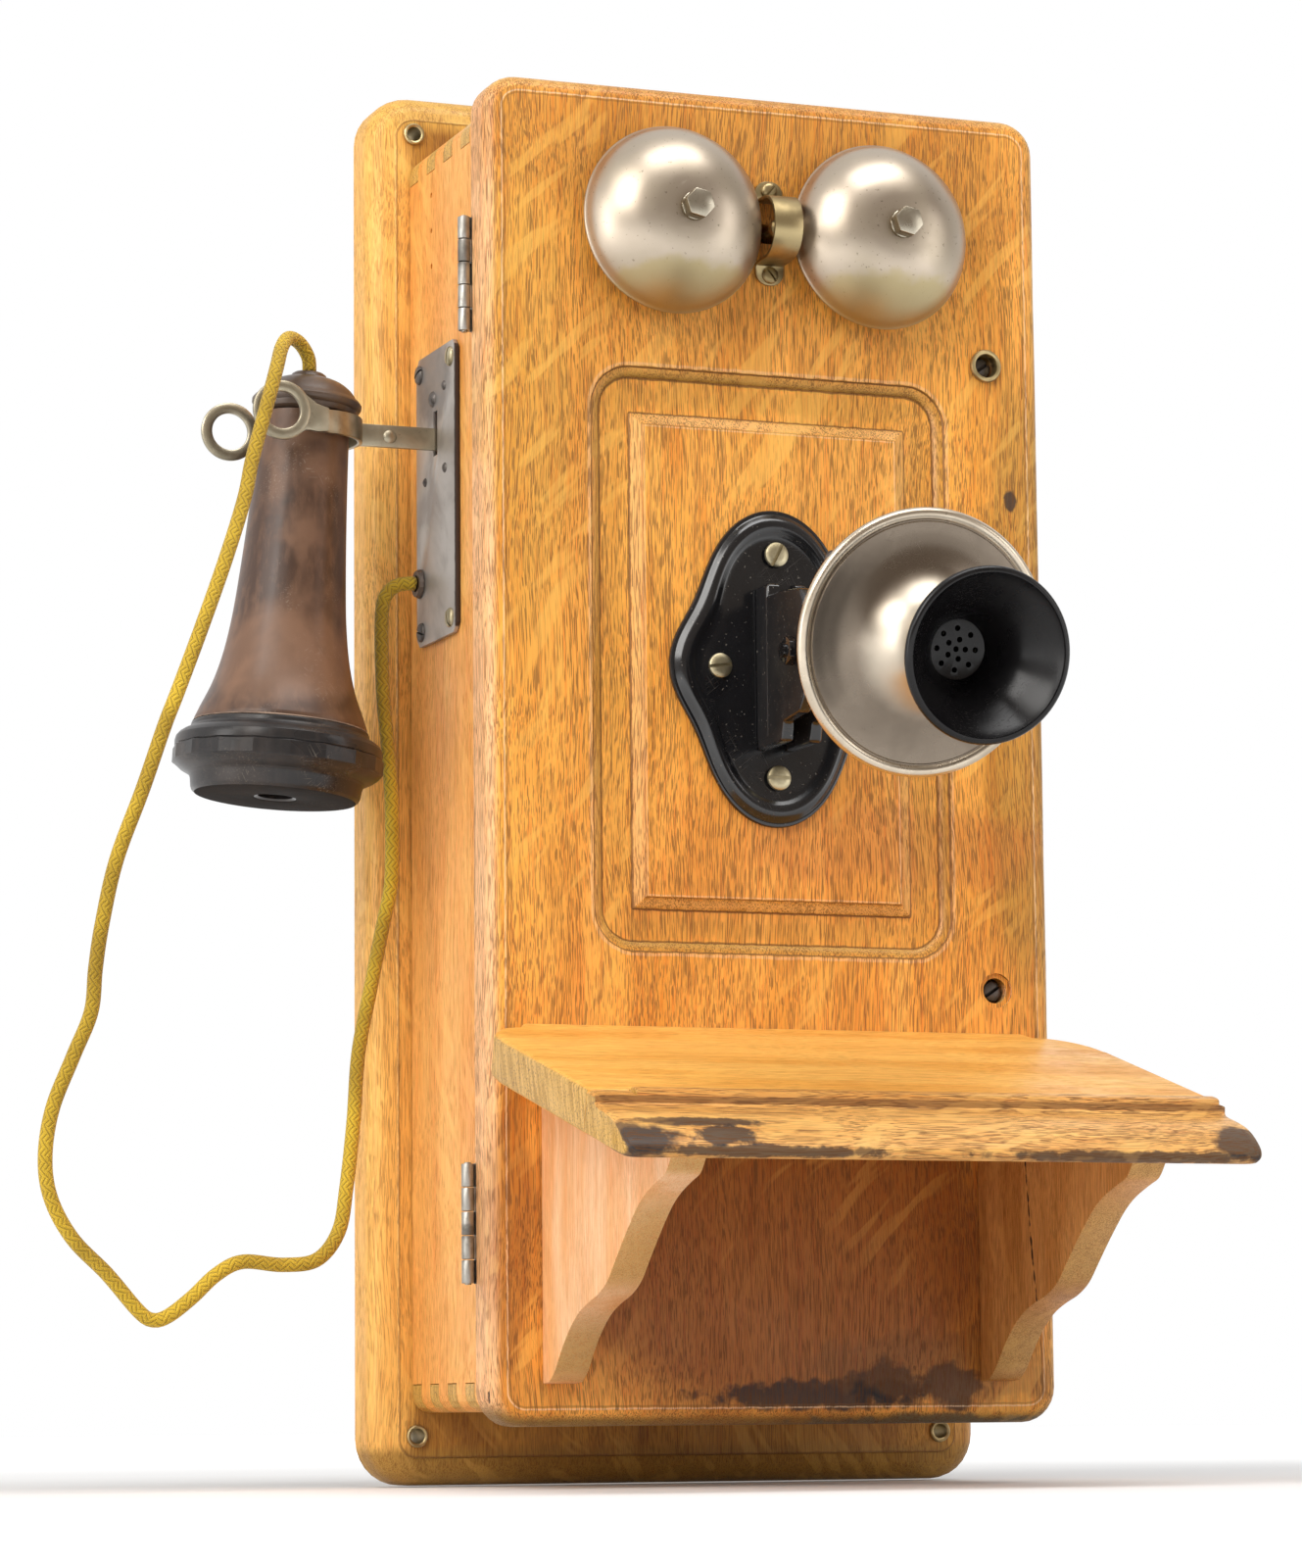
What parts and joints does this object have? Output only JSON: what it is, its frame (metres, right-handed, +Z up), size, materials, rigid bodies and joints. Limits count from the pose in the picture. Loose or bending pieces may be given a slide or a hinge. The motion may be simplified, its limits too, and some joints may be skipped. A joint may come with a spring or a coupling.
{
  "type": "hand crank wall telephone",
  "caption": "Oak wall telephone with gongs and striker, a tilting transmitter on an arm, a receiver on a switch hook, a sloping writing shelf and a side crank.",
  "frame": {"origin": "centre of the backboard's rear face, on the wall plane", "axes": "+Z up, +Y into the wall (out of the backboard's rear face), -Y out towards the user, +X to the right seen from the front"},
  "size_m": [0.382, 0.2935, 0.494],
  "materials": {
    "oak": "golden quarter-sawn oak with an old satin varnish",
    "nickel": "worn satin nickel plate",
    "brass": "dull aged brass",
    "japanned_iron": "glossy black japan",
    "dark_iron": "dark worn iron, rusty at the edges",
    "steel": "plain steel",
    "brown_ebonite": "hard rubber gone brown with age",
    "black_ebonite": "polished black hard rubber",
    "winding": "copper winding under varnished paper",
    "braided_cotton": "mustard braided cotton"
  },
  "bodies": {
    "case": {"backboard": "oak", "eyelet_top_left": "brass", "eyelet_top_right": "brass", "eyelet_bottom_left": "brass", "eyelet_bottom_right": "brass", "case_left": "oak", "case_right": "oak", "case_top": "oak", "case_bottom": "oak", "inner_shelf": "oak", "hinge_upper_case_leaf": "steel", "hinge_lower_case_leaf": "steel", "hook_plate": "dark_iron", "cord_bushing": "brown_ebonite", "hook_bracket": "dark_iron", "contact_stack": "black_ebonite", "crank_bushing": "brass", "magneto_frame": "brass", "horseshoe_magnets": "dark_iron", "induction_coil": "winding", "terminal_strip": "brass", "receiver_cord": "braided_cotton"},
    "door": {"door_board": "oak", "hinge_upper_door_leaf": "steel", "hinge_lower_door_leaf": "steel", "lock_screw_upper": "dark_iron", "lock_screw_lower": "dark_iron", "door_eyelet": "brass", "gong_left": "nickel", "gong_right": "nickel", "gong_post_left": "nickel", "gong_post_right": "nickel", "striker_hood": "nickel", "ringer_frame": "dark_iron", "ringer_coil_left": "winding", "ringer_coil_right": "winding", "ringer_magnet": "dark_iron", "transmitter_bracket": "japanned_iron", "pivot_bolt": "steel", "shelf_board": "oak", "shelf_front_strip": "oak", "shelf_bracket_left": "oak", "shelf_bracket_right": "oak"},
    "striker": {"clapper": "brass"},
    "transmitter": {"transmitter_cup": "japanned_iron", "faceplate": "nickel", "mouthpiece": "black_ebonite", "carbon_capsule": "brass", "transmitter_diaphragm": "steel"},
    "hook": {"hook_lever": "nickel"},
    "receiver": {"receiver_cap": "black_ebonite", "receiver_shell": "brown_ebonite", "receiver_dome": "brown_ebonite", "receiver_magnet": "steel"},
    "crank": {"crank_shaft": "steel", "crank_arm": "nickel"},
    "knob": {"crank_knob": "black_ebonite"},
    "rotor": {"armature": "steel"}
  },
  "joints": [
    {"name": "door_swing", "type": "hinge", "parent": "case", "child": "door", "pos_m": [-0.10575, -0.09635, 0], "axis": [0, 0, -1], "range_deg": [0, 90]},
    {"name": "striker_swing", "type": "hinge", "parent": "door", "child": "striker", "pos_m": [0, -0.078, 0.152], "axis": [0, 1, 0], "range_deg": [-3.5, 3.5]},
    {"name": "transmitter_tilt", "type": "hinge", "parent": "door", "child": "transmitter", "pos_m": [0, -0.149, 0.03], "axis": [1, 0, 0], "range_deg": [-25, 25]},
    {"name": "receiver_lift", "type": "slide", "parent": "case", "child": "receiver", "axis": [-0.9397, 0, 0.342], "range_m": [0, 0.06], "deforming": ["receiver_cord"]},
    {"name": "hook_lift", "type": "hinge", "parent": "case", "child": "hook", "pos_m": [-0.083, -0.054, 0.1142], "axis": [0, 1, 0], "range_deg": [0, 9]},
    {"name": "crank_turn", "type": "hinge", "parent": "case", "child": "crank", "pos_m": [0.1, -0.056, 0.006], "axis": [1, 0, 0], "continuous": true},
    {"name": "knob_spin", "type": "hinge", "parent": "crank", "child": "knob", "pos_m": [0.128, -0.056, 0.05], "axis": [1, 0, 0], "continuous": true},
    {"name": "rotor_spin", "type": "hinge", "parent": "case", "child": "rotor", "pos_m": [0, -0.056, -0.03175], "axis": [1, 0, 0], "continuous": true}
  ],
  "couplings": [
    {"joint": "rotor_spin", "follows": "crank_turn", "ratio": -4},
    {"joint": "hook_lift", "follows": "receiver_lift", "rad_per_m": 2.6}
  ]
}
